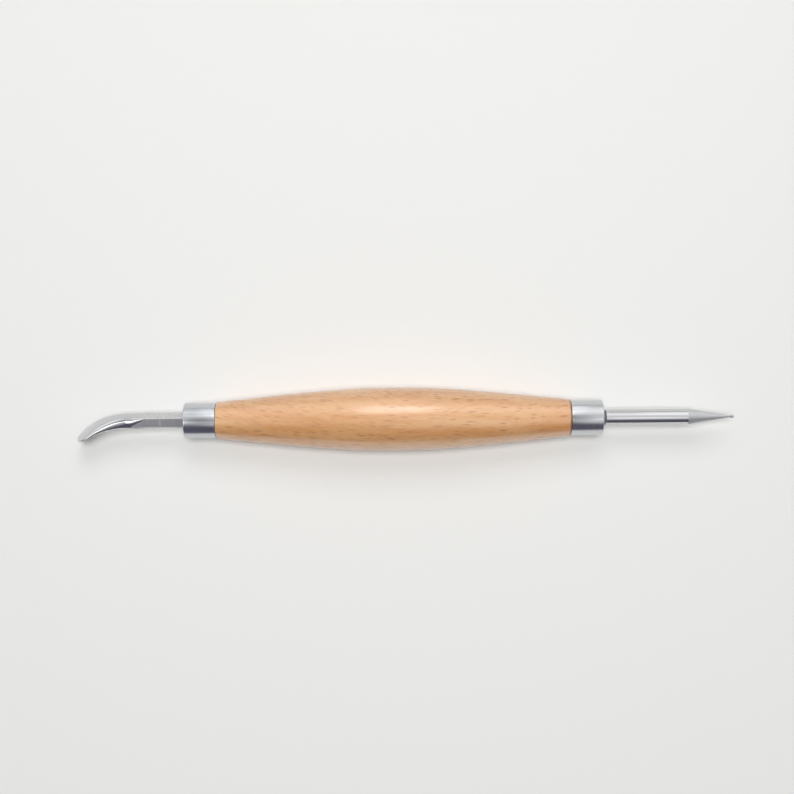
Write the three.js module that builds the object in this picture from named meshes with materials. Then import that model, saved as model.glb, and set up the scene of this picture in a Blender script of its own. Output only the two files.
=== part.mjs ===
// A double-ended leather modeling tool: a turned beech handle, a ferrule at each end, a bent
// spoon forged from square bar on one side, and a ball stylus turned from round rod on the other.
// Millimetres. +X runs along the tool towards the ball stylus and +Z is up. The tool lies on a
// table, and the origin is the lowest point of the handle's belly, at the middle of the handle.

import * as THREE from "three";

// Sides of every turned piece, with one flat side facing straight down
const SIDES = 48;
const BALL_SIDES = 20;
const EDGE_STEPS = 3;

// Clearance between a pressed or glued piece and its seat, on each side
const FIT = 0.03;

// Beech handle
const HANDLE_LENGTH = 90;
const BELLY_DIAMETER = 16;
const BELLY_LAND = 6;
const BELLY_FLAT_SIDES = 3; // lowest sides of the belly that are sanded into one flat to rest on
const SHOULDER_STAND = 0.15; // how far the wood stands proud of the ferrules
const SHOULDER_EASE = 0.4;
const SWELL = 0.35; // lower is a rounder belly with straighter flanks
const SWELL_STEPS = 10;

// Drawn ferrules, pressed over a tenon at each end of the handle
const FERRULE_DIAMETER = 9;
const FERRULE_LENGTH = 8.1;
const FERRULE_WALL = 0.5;
const FERRULE_END = 0.8;
const FERRULE_RIM_RADIUS = 0.45;
const FERRULE_MOUTH_EASE = 0.12;

// Modeling spoon, forged from square bar
const BAR_SIDE = 3.2;
const BAR_BACK_RADIUS = 0.25; // the back's two edges stay crisp
const BAR_FRONT_RADIUS = 1.1; // the front's two edges are eased by hand
const BAR_REACH = 14.7; // straight bar from the ferrule to the bend
const POLISH_LEAD = 4.7; // how far before the bend the polished forging starts
const POLISH_RUN = 3.2; // length over which the polish spreads down the side
const BEND_RADIUS = 19.05;
const BEND_DEGREES = 42.7;
const SPOON_WIDTH = 7.8;
const SPOON_END_LENGTH = 3.3;
const SPOON_RIM_THICKNESS = 0.7;
const SPOON_CROWN = 0.22;
const SPOON_DISH = 0.2;
const SPOON_TAPER_POWER = 1.25; // higher keeps the bar's section further into the bend
const POLISHED_SPREAD = 0.95; // how much wider the section gets where the polish starts
const POLISHED_RIDGE_INSET = 1.05; // how far polishing brings the ridge in from the side
const POLISHED_SIDE_SHARE = 0.62; // share of the side's height that is domed by polishing
const WIDEST_EDGE_SHARE = 0.9; // the spoon's edge radii stay under this share of half its width
const POLISH_STEPS = 4;
const SPOON_STEPS = 16;
const SPOON_END_STEPS = 7;
const SPOON_EDGE_STEPS = 4;
const SPOON_ROLL_DEGREES = -63; // turns the back of the spoon from +Z towards +Y
const SPOON_TANG = 26;
const SPOON_TANG_TAPER = 3;
const SPOON_TANG_END_SHARE = 0.55;

// Ball stylus, turned from round rod
const ROD_DIAMETER = 4;
const ROD_LENGTH = 21;
const ROD_CHAMFER = 0.3;
const ROD_SHOULDER = 0.1; // flat ring between the rod's chamfer and its tang
const CONE_LENGTH = 10.9;
const NECK_DIAMETER = 0.52;
const BALL_DIAMETER = 1.05;
const BALL_SEAT_LIP = 0.06; // wall left round the ball's seat in the end of the neck
const BRAZE_GAP = 0.01;
const STYLUS_TANG = 26;
const TANG_GROOVES = 3;
const TANG_GROOVE_PITCH = 5;
const TANG_GROOVE_WIDTH = 1.2;
const TANG_GROOVE_DEPTH = 0.2;

// Adhesive round the tangs, and the bores that hold it
const GLUE_THICKNESS = 0.45;
const GLUE_COLLAR_LENGTH = 0.7;
const GLUE_COLLAR_SPREAD = 0.1; // how far the collar laps over the ferrule's end
const BORE_FLOOR_GAP = 0.4;

const BELLY_RADIUS = BELLY_DIAMETER / 2;
const FERRULE_RADIUS = FERRULE_DIAMETER / 2;
const FERRULE_BORE_RADIUS = FERRULE_RADIUS - FERRULE_WALL;
const SHOULDER_RADIUS = FERRULE_RADIUS + SHOULDER_STAND;
const TENON_RADIUS = FERRULE_BORE_RADIUS - FIT;
const ROD_RADIUS = ROD_DIAMETER / 2;
const ROD_FACE_RADIUS = ROD_RADIUS - ROD_CHAMFER;
const TANG_RADIUS = ROD_FACE_RADIUS - ROD_SHOULDER;
const BAR_CORNER_RADIUS = Math.SQRT2 * (BAR_SIDE / 2 - BAR_BACK_RADIUS) + BAR_BACK_RADIUS;
const SPOON_BORE_RADIUS = BAR_CORNER_RADIUS + GLUE_THICKNESS;
const STYLUS_BORE_RADIUS = TANG_RADIUS + GLUE_THICKNESS;
const BALL_RADIUS = BALL_DIAMETER / 2;
const BALL_SEAT_RADIUS = NECK_DIAMETER / 2 - BALL_SEAT_LIP;
const BALL_SEAT_DEPTH = BALL_RADIUS - Math.sqrt(BALL_RADIUS ** 2 - BALL_SEAT_RADIUS ** 2);
const BEND_LENGTH = BEND_RADIUS * THREE.MathUtils.degToRad(BEND_DEGREES);

// Stations along the axis, counted outwards from the middle of the handle
const SHOULDER_X = HANDLE_LENGTH / 2;
const FERRULE_END_X = SHOULDER_X + FERRULE_LENGTH;
const TENON_END_X = FERRULE_END_X - FERRULE_END - FIT;
const SPOON_BORE_FLOOR_X = FERRULE_END_X - SPOON_TANG - BORE_FLOOR_GAP;
const BEND_START_X = FERRULE_END_X + BAR_REACH;
const STYLUS_TANG_X = FERRULE_END_X - STYLUS_TANG;
const STYLUS_BORE_FLOOR_X = STYLUS_TANG_X - BORE_FLOOR_GAP;
const ROD_START_X = FERRULE_END_X + GLUE_COLLAR_LENGTH;
const CONE_START_X = ROD_START_X + ROD_LENGTH;
const NECK_END_X = CONE_START_X + CONE_LENGTH;

// The axis stands this high when the flat under the belly lies on the table
const AXIS_HEIGHT = BELLY_RADIUS * Math.cos((BELLY_FLAT_SIDES * Math.PI) / SIDES);

const beech = new THREE.MeshStandardMaterial({ color: 0xd9a878, roughness: 0.45, metalness: 0 });
const nickel = new THREE.MeshStandardMaterial({ color: 0xb4b8bd, roughness: 0.3, metalness: 1 });
const polishedSteel = new THREE.MeshStandardMaterial({ color: 0xc9cbce, roughness: 0.15, metalness: 1 });
const adhesive = new THREE.MeshStandardMaterial({ color: 0x3a3733, roughness: 0.6, metalness: 0 });

function point(x, radius) {
  return new THREE.Vector2(radius, x);
}

// Profile points of a quarter round about a centre, between two angles
function quarterRound(centreX, centreRadius, radius, fromDegrees, toDegrees) {
  const points = [];
  for (let i = 0; i <= EDGE_STEPS; i++) {
    const angle = THREE.MathUtils.degToRad(
      THREE.MathUtils.lerp(fromDegrees, toDegrees, i / EDGE_STEPS),
    );
    points.push(point(centreX + radius * Math.cos(angle), centreRadius + radius * Math.sin(angle)));
  }
  return points;
}

// A piece turned about the X axis, from profile points that run towards +X on the outside
function turned(name, profile, material) {
  const geometry = new THREE.LatheGeometry(profile, SIDES, Math.PI / SIDES);
  const mesh = new THREE.Mesh(geometry, material);
  mesh.name = name;
  mesh.rotation.z = -Math.PI / 2;
  return mesh;
}

// Radius of the handle at a distance from its middle: a hyperbola from the belly to the shoulder
function handleRadius(distance) {
  const halfLand = BELLY_LAND / 2;
  const share = Math.max(0, distance - halfLand) / (SHOULDER_X - halfLand);
  const fall = (Math.hypot(SWELL, share) - SWELL) / (Math.hypot(SWELL, 1) - SWELL);
  return THREE.MathUtils.lerp(BELLY_RADIUS, SHOULDER_RADIUS, fall);
}

// One half of the handle's outside, from the land to the floor of its bore
function handleHalf(boreRadius, boreFloorX) {
  const points = [];
  const start = BELLY_LAND / 2;
  const end = SHOULDER_X - SHOULDER_EASE;
  for (let i = 0; i <= SWELL_STEPS; i++) {
    const x = THREE.MathUtils.lerp(start, end, i / SWELL_STEPS);
    points.push(point(x, handleRadius(x)));
  }
  const easeRadius = handleRadius(end) - SHOULDER_EASE;
  points.push(...quarterRound(end, easeRadius, SHOULDER_EASE, 90, 0).slice(1));
  points.push(point(SHOULDER_X, TENON_RADIUS));
  points.push(point(TENON_END_X, TENON_RADIUS));
  points.push(point(TENON_END_X, boreRadius));
  points.push(point(boreFloorX, boreRadius));
  points.push(point(boreFloorX, 0));
  return points;
}

// The handle, turned whole and then sanded flat under the belly
function makeHandle() {
  const stylusHalf = handleHalf(STYLUS_BORE_RADIUS, STYLUS_BORE_FLOOR_X);
  const spoonHalf = handleHalf(SPOON_BORE_RADIUS, SPOON_BORE_FLOOR_X)
    .map((p) => point(-p.y, p.x))
    .reverse();
  const mesh = turned("handle", [...spoonHalf, ...stylusHalf], beech);
  const position = mesh.geometry.attributes.position;
  for (let i = 0; i < position.count; i++)
    position.setZ(i, Math.max(position.getZ(i), -AXIS_HEIGHT));
  mesh.geometry.computeVertexNormals();
  return mesh;
}

// A drawn cup with a hole in its end for the tang, its mouth against the handle's shoulder
function makeFerrule(name, holeRadius) {
  const rim = FERRULE_RADIUS - FERRULE_RIM_RADIUS;
  const mouthX = SHOULDER_X + FIT;
  const outside = [
    point(mouthX, FERRULE_BORE_RADIUS),
    point(mouthX, FERRULE_RADIUS - FERRULE_MOUTH_EASE),
    point(mouthX + FERRULE_MOUTH_EASE, FERRULE_RADIUS),
    ...quarterRound(FERRULE_END_X - FERRULE_RIM_RADIUS, rim, FERRULE_RIM_RADIUS, 90, 0),
    point(FERRULE_END_X, holeRadius),
    point(FERRULE_END_X - FERRULE_END, holeRadius),
    point(FERRULE_END_X - FERRULE_END, FERRULE_BORE_RADIUS),
    point(mouthX, FERRULE_BORE_RADIUS),
  ];
  return turned(name, outside, nickel);
}

// Closed section of the bar or spoon, wide along Y and thick along Z, with its back at +Z.
// The back's two edges can be rounded further down the sides than they are across the back.
function barSection({ halfWidth, halfThickness, inset, drop, edge, crown, dish }) {
  const points = [];
  const backY = halfWidth - inset;
  const frontY = halfWidth - edge;
  const bulge = (share) => 1 - share * share;
  const corner = (centreY, centreZ, radiusY, radiusZ, fromDegrees) => {
    for (let i = 0; i <= SPOON_EDGE_STEPS; i++) {
      const angle = THREE.MathUtils.degToRad(fromDegrees + (90 * i) / SPOON_EDGE_STEPS);
      points.push([centreY + radiusY * Math.cos(angle), centreZ + radiusZ * Math.sin(angle)]);
    }
  };
  corner(backY, halfThickness - drop, inset, drop, 0);
  for (const share of [0.5, 0, -0.5])
    points.push([backY * share, halfThickness + crown * bulge(share)]);
  corner(-backY, halfThickness - drop, inset, drop, 90);
  corner(-frontY, edge - halfThickness, edge, edge, 180);
  for (const share of [-0.5, 0, 0.5])
    points.push([frontY * share, dish * bulge(share) - halfThickness]);
  corner(frontY, edge - halfThickness, edge, edge, 270);
  return points;
}

// A solid skinned over rings of points, with each end closed by a fan
function skinned(rings) {
  const count = rings[0].length;
  const positions = rings.flat().flatMap((p) => [p.x, p.y, p.z]);
  const index = [];
  for (let r = 0; r + 1 < rings.length; r++)
    for (let i = 0; i < count; i++) {
      const a = r * count + i;
      const b = r * count + ((i + 1) % count);
      index.push(a, a + count, b, b, a + count, b + count);
    }
  const addCap = (ringIndex, reversed) => {
    const centre = new THREE.Vector3();
    rings[ringIndex].forEach((p) => centre.addScaledVector(p, 1 / count));
    const hub = positions.length / 3;
    positions.push(centre.x, centre.y, centre.z);
    for (let i = 0; i < count; i++) {
      const a = ringIndex * count + i;
      const b = ringIndex * count + ((i + 1) % count);
      index.push(hub, ...(reversed ? [b, a] : [a, b]));
    }
  };
  addCap(0, false);
  addCap(rings.length - 1, true);
  const geometry = new THREE.BufferGeometry();
  geometry.setAttribute("position", new THREE.Float32BufferAttribute(positions, 3));
  geometry.setIndex(index);
  geometry.computeVertexNormals();
  return geometry;
}

// Shape of the forging at a distance past the start of the bend
function spoonShape(distance) {
  const taperLength = BEND_LENGTH - SPOON_END_LENGTH;
  const reach = THREE.MathUtils.clamp(distance / taperLength, 0, 1);
  const taper = reach ** SPOON_TAPER_POWER;
  const endShare = Math.max(0, distance - taperLength) / SPOON_END_LENGTH;
  const roundEnd = Math.sqrt(Math.max(0, 1 - endShare * endShare));
  const polish = THREE.MathUtils.clamp((distance + POLISH_LEAD) / POLISH_RUN, 0, 1);
  const thickness = THREE.MathUtils.lerp(BAR_SIDE, SPOON_RIM_THICKNESS, taper);
  const spread = BAR_SIDE + POLISHED_SPREAD * polish;
  const halfWidth = (THREE.MathUtils.lerp(spread, SPOON_WIDTH, taper) / 2) * roundEnd;
  const widestEdge = halfWidth * WIDEST_EDGE_SHARE;
  const inset = THREE.MathUtils.lerp(BAR_BACK_RADIUS, POLISHED_RIDGE_INSET, polish);
  const drop = THREE.MathUtils.lerp(BAR_BACK_RADIUS, thickness * POLISHED_SIDE_SHARE, polish);
  return {
    halfWidth,
    halfThickness: thickness / 2,
    inset: Math.min(inset, widestEdge),
    drop: Math.min(drop, thickness * POLISHED_SIDE_SHARE),
    edge: Math.min(BAR_FRONT_RADIUS, thickness * (1 - POLISHED_SIDE_SHARE), widestEdge),
    crown: SPOON_CROWN * reach * roundEnd,
    dish: SPOON_DISH * reach * roundEnd,
  };
}

// The ring of a section at a distance past the start of the bend, along the bar's own path
function spoonRing(distance, section) {
  const angle = Math.max(0, distance) / BEND_RADIUS;
  const centre = new THREE.Vector3(
    -BEND_START_X - Math.min(0, distance) - BEND_RADIUS * Math.sin(angle),
    0,
    -BEND_RADIUS * (1 - Math.cos(angle)),
  );
  const across = new THREE.Vector3(0, 1, 0);
  const outwards = new THREE.Vector3(-Math.sin(angle), 0, Math.cos(angle));
  return section.map(([y, z]) =>
    centre.clone().addScaledVector(across, y).addScaledVector(outwards, z),
  );
}

function makeSpoon() {
  const tangEnd = -(BAR_REACH + SPOON_TANG);
  const bar = spoonShape(-POLISH_LEAD);
  const shrunk = Object.fromEntries(
    Object.entries(bar).map(([key, value]) => [key, value * SPOON_TANG_END_SHARE]),
  );
  const rings = [
    spoonRing(tangEnd, barSection(shrunk)),
    spoonRing(tangEnd + SPOON_TANG_TAPER, barSection(bar)),
    spoonRing(-POLISH_LEAD, barSection(bar)),
  ];
  for (let i = 1; i <= POLISH_STEPS; i++) {
    const distance = (POLISH_RUN * i) / POLISH_STEPS - POLISH_LEAD;
    rings.push(spoonRing(distance, barSection(spoonShape(distance))));
  }
  rings.push(spoonRing(0, barSection(spoonShape(0))));
  const taperLength = BEND_LENGTH - SPOON_END_LENGTH;
  for (let i = 1; i <= SPOON_STEPS; i++) {
    const distance = (taperLength * i) / SPOON_STEPS;
    rings.push(spoonRing(distance, barSection(spoonShape(distance))));
  }
  for (let i = 1; i <= SPOON_END_STEPS; i++) {
    const share = Math.sin((Math.PI / 2) * (i / (SPOON_END_STEPS + 0.5)));
    const distance = taperLength + SPOON_END_LENGTH * share;
    rings.push(spoonRing(distance, barSection(spoonShape(distance))));
  }
  const mesh = new THREE.Mesh(skinned(rings), polishedSteel);
  mesh.name = "modeling_spoon";
  mesh.rotation.x = THREE.MathUtils.degToRad(SPOON_ROLL_DEGREES);
  return mesh;
}

// Straight tang, grooved to key the adhesive, then the polished rod and its ground cone
function makeStylusShank() {
  const profile = [point(STYLUS_TANG_X, 0), point(STYLUS_TANG_X, TANG_RADIUS)];
  for (let i = 0; i < TANG_GROOVES; i++) {
    const grooveX = STYLUS_TANG_X + TANG_GROOVE_PITCH * (i + 1);
    profile.push(
      point(grooveX - TANG_GROOVE_WIDTH / 2, TANG_RADIUS),
      point(grooveX, TANG_RADIUS - TANG_GROOVE_DEPTH),
      point(grooveX + TANG_GROOVE_WIDTH / 2, TANG_RADIUS),
    );
  }
  profile.push(
    point(ROD_START_X, TANG_RADIUS),
    point(ROD_START_X, ROD_FACE_RADIUS),
    point(ROD_START_X + ROD_CHAMFER, ROD_RADIUS),
    point(CONE_START_X, ROD_RADIUS),
    point(NECK_END_X, NECK_DIAMETER / 2),
    point(NECK_END_X, BALL_SEAT_RADIUS),
    point(NECK_END_X - BALL_SEAT_DEPTH, 0),
  );
  return turned("stylus_shank", profile, polishedSteel);
}

// The ball, brazed into the seat at the end of the neck
function makeStylusBall() {
  const geometry = new THREE.SphereGeometry(BALL_RADIUS, BALL_SIDES, BALL_SIDES / 2);
  const mesh = new THREE.Mesh(geometry, polishedSteel);
  mesh.name = "stylus_ball";
  mesh.position.x = NECK_END_X - BALL_SEAT_DEPTH + BALL_RADIUS + BRAZE_GAP;
  return mesh;
}

// Adhesive between the square tang and its round bore, flush with the ferrule's end
function makeSpoonGlue() {
  const outline = new THREE.Shape();
  outline.absarc(0, 0, SPOON_BORE_RADIUS - FIT, 0, 2 * Math.PI, false);
  const hole = new THREE.Path();
  const clear = barSection({
    halfWidth: BAR_SIDE / 2 + FIT,
    halfThickness: BAR_SIDE / 2 + FIT,
    inset: BAR_BACK_RADIUS,
    drop: BAR_BACK_RADIUS,
    edge: BAR_FRONT_RADIUS,
    crown: 0,
    dish: 0,
  });
  hole.setFromPoints(clear.map(([y, z]) => new THREE.Vector2(-z, y)));
  outline.holes.push(hole);
  const geometry = new THREE.ExtrudeGeometry(outline, {
    depth: SPOON_TANG,
    bevelEnabled: false,
    curveSegments: SIDES / 4,
  });
  const mesh = new THREE.Mesh(geometry, adhesive);
  mesh.name = "spoon_tang_adhesive";
  mesh.rotation.y = Math.PI / 2;
  const turn = new THREE.Group();
  turn.position.x = -FERRULE_END_X;
  turn.rotation.x = THREE.MathUtils.degToRad(SPOON_ROLL_DEGREES);
  turn.add(mesh);
  return turn;
}

// Adhesive round the stylus tang, with the collar that shows between the ferrule and the rod
function makeStylusGlue() {
  const outside = STYLUS_BORE_RADIUS - FIT;
  const inside = TANG_RADIUS + FIT;
  const profile = [
    point(STYLUS_TANG_X, inside),
    point(STYLUS_TANG_X, outside),
    point(FERRULE_END_X + FIT, outside),
    point(FERRULE_END_X + FIT, STYLUS_BORE_RADIUS + GLUE_COLLAR_SPREAD),
    point(ROD_START_X - FIT, ROD_FACE_RADIUS),
    point(ROD_START_X - FIT, inside),
    point(STYLUS_TANG_X, inside),
  ];
  return turned("stylus_tang_adhesive", profile, adhesive);
}

// The spoon's ferrule is the same pressing turned end for end
const spoonEnd = new THREE.Group();
spoonEnd.rotation.z = Math.PI;
spoonEnd.add(makeFerrule("spoon_ferrule", SPOON_BORE_RADIUS));

const tool = new THREE.Group();
tool.position.z = AXIS_HEIGHT;
tool.add(
  makeHandle(),
  spoonEnd,
  makeSpoon(),
  makeSpoonGlue(),
  makeFerrule("stylus_ferrule", STYLUS_BORE_RADIUS),
  makeStylusShank(),
  makeStylusBall(),
  makeStylusGlue(),
);

const part = new THREE.Group();
part.add(tool);

export default part;
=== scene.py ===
"""Dresses a packed leather modeling tool and lights it on a pale table.

The tool is a turned beech handle with a drawn ferrule on each end. One ferrule holds a bent
spoon forged from square bar, the other a ball stylus turned from round rod. Blender units are
metres, +X runs towards the stylus, +Z is up, and the origin is where the belly rests. Sizes
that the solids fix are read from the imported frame, and the rest are settings in the sidebar.
"""

import math

import bmesh
import bpy
from bpy.props import FloatProperty, FloatVectorProperty, PointerProperty
from mathutils import Matrix, Vector


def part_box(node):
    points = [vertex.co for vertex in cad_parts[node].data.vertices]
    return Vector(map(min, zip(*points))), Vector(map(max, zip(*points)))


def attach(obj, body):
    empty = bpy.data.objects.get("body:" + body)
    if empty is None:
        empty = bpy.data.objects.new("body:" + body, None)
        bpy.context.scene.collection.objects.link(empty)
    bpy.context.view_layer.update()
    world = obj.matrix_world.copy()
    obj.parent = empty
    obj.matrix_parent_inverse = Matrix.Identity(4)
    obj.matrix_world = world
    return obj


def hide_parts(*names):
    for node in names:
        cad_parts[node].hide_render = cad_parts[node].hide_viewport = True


bl_info = {
    "name": "Leather Modeling Tool",
    "version": (1, 0, 0),
    "blender": (4, 5, 0),
    "location": "3D View > Sidebar > Modeling Tool",
    "description": "Builds a double-ended leather modeling tool on a pale table",
    "category": "Object",
}

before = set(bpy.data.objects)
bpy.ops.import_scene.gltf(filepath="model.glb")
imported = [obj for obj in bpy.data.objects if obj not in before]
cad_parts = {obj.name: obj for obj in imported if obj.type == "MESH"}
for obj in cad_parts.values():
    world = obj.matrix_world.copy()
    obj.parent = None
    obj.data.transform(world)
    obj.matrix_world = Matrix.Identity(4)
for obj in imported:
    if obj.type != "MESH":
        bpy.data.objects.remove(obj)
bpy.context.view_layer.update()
BODY = "root"
MM = 0.001

# Stations and radii that the solids fix
HANDLE_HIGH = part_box("handle")[1]
SPOON_FERRULE_LOW, SPOON_FERRULE_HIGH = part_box("spoon_ferrule")
STYLUS_FERRULE_LOW, STYLUS_FERRULE_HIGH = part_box("stylus_ferrule")
SPOON_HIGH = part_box("modeling_spoon")[1]
SHANK_LOW, SHANK_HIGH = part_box("stylus_shank")
BALL_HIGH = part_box("stylus_ball")[1]
SPOON_GLUE_LOW, SPOON_GLUE_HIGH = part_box("spoon_tang_adhesive")
STYLUS_GLUE_LOW, STYLUS_GLUE_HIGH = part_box("stylus_tang_adhesive")
AXIS_HEIGHT = (STYLUS_FERRULE_LOW.z + STYLUS_FERRULE_HIGH.z) / 2
FIT = 0.03 * MM  # clearance of the pressed and glued pieces
BORE_FLOOR_GAP = 0.4 * MM  # left between the end of a tang and the floor of its bore

# Fineness of the turned pieces and of their rounded edges
SIDES = 144
EDGE_STEPS = 8
MOUTH_STEPS = 4
BALL_STEPS = 48
SHARP_ANGLE = math.radians(28)  # an edge that turns more than this stays sharp


class Wire:
    """A node's output that takes part in sums: each operator adds a Math node to its board."""

    def __init__(self, board, socket):
        self.board = board
        self.socket = socket

    def __add__(self, other):
        return self.board.math("ADD", self, other)

    def __sub__(self, other):
        return self.board.math("SUBTRACT", self, other)

    def __rsub__(self, other):
        return self.board.math("SUBTRACT", other, self)

    def __mul__(self, other):
        return self.board.math("MULTIPLY", self, other)

    def __truediv__(self, other):
        return self.board.math("DIVIDE", self, other)

    def __pow__(self, other):
        return self.board.math("POWER", self, other)

    def __lt__(self, other):
        return self.board.math("LESS_THAN", self, other)

    def __gt__(self, other):
        return self.board.math("GREATER_THAN", self, other)

    __radd__ = __add__
    __rmul__ = __mul__


class Board:
    """A node tree that is being wired up."""

    def __init__(self, tree):
        self.tree = tree

    def node(self, kind, settings=None, inputs=None):
        """Adds a node, makes its settings, and then feeds its sockets with values or wires."""
        node = self.tree.nodes.new(kind)
        for name, value in (settings or {}).items():
            setattr(node, name, value)
        for key, value in (inputs or {}).items():
            self.feed(find_socket(node.inputs, key), value)
        return node

    def take(self, kind, output, settings=None, inputs=None):
        """Adds a node and returns the wire of one of its outputs."""
        node = self.node(kind, settings, inputs)
        return Wire(self, find_socket(node.outputs, output))

    def wires(self, node, *outputs):
        """The wires of some of a node's outputs."""
        return [Wire(self, node.outputs[name]) for name in outputs]

    def feed(self, socket, value):
        if isinstance(value, Wire):
            self.tree.links.new(value.socket, socket)
        else:
            socket.default_value = value

    def math(self, operation, first, second=0.0):
        return self.take("ShaderNodeMath", 0, {"operation": operation}, {0: first, 1: second})

    def vector(self, operation, first, second):
        """Vector Math on two vectors."""
        settings = {"operation": operation}
        return self.take("ShaderNodeVectorMath", 0, settings, {0: first, 1: second})

    def split(self, vector):
        """The three parts of a vector."""
        node = self.node("ShaderNodeSeparateXYZ", None, {0: vector})
        return [Wire(self, socket) for socket in node.outputs]

    def join(self, x, y, z):
        return self.take("ShaderNodeCombineXYZ", 0, None, {0: x, 1: y, 2: z})

    def ease(self, value, start, end):
        """0 before start, 1 after end and smooth between them."""
        settings = {"interpolation_type": "SMOOTHSTEP"}
        inputs = {"Value": value, "From Min": start, "From Max": end}
        return self.take("ShaderNodeMapRange", 0, settings, inputs)

    def hump(self, value, rise, top, fall, end):
        """0 outside rise to end, 1 between top and fall, and smooth on both sides."""
        return self.ease(value, rise, top) - self.ease(value, fall, end)

    def reshape(self, kind, geometry, inputs=None, settings=None):
        """Passes a geometry through one of the Geometry Nodes."""
        inputs = {0: geometry, **(inputs or {})}
        return self.take(f"GeometryNode{kind}", 0, settings, inputs)

    def ray(self, kind):
        """1 on the rays of a kind, and 0 on the rest."""
        return self.take("ShaderNodeLightPath", f"Is {kind} Ray")

    def mix(self, factor, first, second):
        """Mixes two colours."""
        inputs = {"Factor_Float": factor, "A_Color": first, "B_Color": second}
        return self.take("ShaderNodeMix", "Result_Color", {"data_type": "RGBA"}, inputs)


def find_socket(sockets, key):
    """A socket by its number, its identifier or its name."""
    if isinstance(key, int):
        return sockets[key]
    for socket in sockets:
        if key in (socket.identifier, socket.name):
            return socket
    raise KeyError(f"no socket {key!r} among {[socket.identifier for socket in sockets]}")


class Paint(Board):
    """The node tree of a material, with the few nodes that the finishes here are made of."""

    def __init__(self, name):
        self.material = bpy.data.materials.new(name)
        self.material.use_nodes = True
        super().__init__(self.material.node_tree)
        self.shader = self.tree.nodes["Principled BSDF"]

    def millimetres(self):
        """Place on the tool in millimetres, from Object coordinates."""
        place = self.take("ShaderNodeTexCoord", "Object")
        return self.vector("MULTIPLY", place, (1 / MM,) * 3)

    def noise(self, place, scale, detail=2.0, output=0):
        """Soft noise over a place, with about scale features to a millimetre on each axis."""
        place = self.vector("MULTIPLY", place, scale)
        inputs = {"Vector": place, "Scale": 1.0, "Detail": detail}
        return self.take("ShaderNodeTexNoise", output, None, inputs)

    def cells(self, place, scale):
        """Scattered cells: the distance from the nearest one's middle, and its random colour."""
        inputs = {"Vector": self.vector("MULTIPLY", place, scale), "Scale": 1.0}
        node = self.node("ShaderNodeTexVoronoi", None, inputs)
        return self.wires(node, "Distance", "Color")

    def bump(self, height, depth):
        """A bumped normal from a height of 0 to 1, whose full depth is in metres."""
        return self.take("ShaderNodeBump", 0, None, {"Height": height, "Distance": depth})

    def finish(self, **values):
        """Feeds the shader's sockets, named here with _ for a space, and returns the material."""
        for name, value in values.items():
            socket = name.replace("_", " ").title().replace("Ior", "IOR")
            self.feed(self.shader.inputs[socket], value)
        return self.material


def colour(red, green, blue):
    """A colour given as it shows on a screen, 0 to 255, in the linear values that shaders use."""
    def linear(value):
        part = value / 255
        return part / 12.92 if part < 0.04045 else ((part + 0.055) / 1.055) ** 2.4

    return (linear(red), linear(green), linear(blue), 1.0)


def dimmed(tone, part):
    """A colour brought down to a part of its brightness."""
    return tuple(value * part for value in tone[:3]) + (1,)


def length(name, description, default):
    return FloatProperty(name=name, description=description, default=default, unit="LENGTH")


def share(name, description, default):
    return FloatProperty(
        name=name, description=description, default=default, min=0, max=1, subtype="FACTOR"
    )


def level(name, description, default):
    return FloatProperty(name=name, description=description, default=default, min=0)


def angle(name, description, degrees):
    default = math.radians(degrees)
    return FloatProperty(name=name, description=description, default=default, subtype="ANGLE")


def power(name, description, default):
    return FloatProperty(name=name, description=description, default=default, unit="POWER")


def tint(name, description, default):
    return FloatVectorProperty(
        name=name, description=description, default=default, size=4, min=0, max=1, subtype="COLOR"
    )


class HandleSettings(bpy.types.PropertyGroup):
    """Shape and colours of the turned handle."""

    shoulder_radius: length("Shoulder Radius", "Radius where the wood meets a ferrule", 4.65 * MM)
    shoulder_ease: length("Shoulder Ease", "Radius of the rounded edge at a ferrule", 0.4 * MM)
    belly_land: length("Belly Land", "Length of the straight stretch in the middle", 6 * MM)
    swell: share("Swell", "Lower is a rounder belly with straighter flanks", 0.35)
    pale_wood: tint("Pale Wood", "Colour of the early wood", colour(223, 169, 112))
    warm_wood: tint("Warm Wood", "Colour of the late wood", colour(213, 150, 89))
    fleck: tint("Fleck", "Colour of the fine dark flecks", colour(160, 98, 50))
    blush: tint("Blush", "Colour of the few small warm spots", colour(216, 146, 92))
    # Painted shade: colour of the dark line painted where the groove at the stylus's ferrule lies in
    # shade
    seam: tint("Seam", "Colour of the dark line at the stylus's ferrule", colour(84, 66, 54))
    wood_roughness: share("Wood Roughness", "Roughness of the sanded wood", 0.33)
    lacquer_roughness: share("Lacquer Roughness", "Roughness of the satin lacquer", 0.2)


class FerruleSettings(bpy.types.PropertyGroup):
    """Shape and colour of the drawn ferrules."""

    wall: length("Wall", "Thickness of the side wall", 0.5 * MM)
    end_thickness: length("End Thickness", "Thickness of the closed end", 0.8 * MM)
    mouth_ease: length("Mouth Ease", "Radius of the edge that meets the wood", 0.12 * MM)
    spoon_rim: length("Spoon End Rim", "Radius of the rim on the spoon's side", 0.45 * MM)
    stylus_rim: length("Stylus End Rim", "Radius of the rim on the stylus's side", 0.25 * MM)
    metal: tint("Nickel", "Colour of the bright nickel plate", (0.66, 0.67, 0.69, 1))
    worn_metal: tint("Worn Nickel", "Colour of the duller plate", (0.66, 0.68, 0.71, 1))


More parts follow.
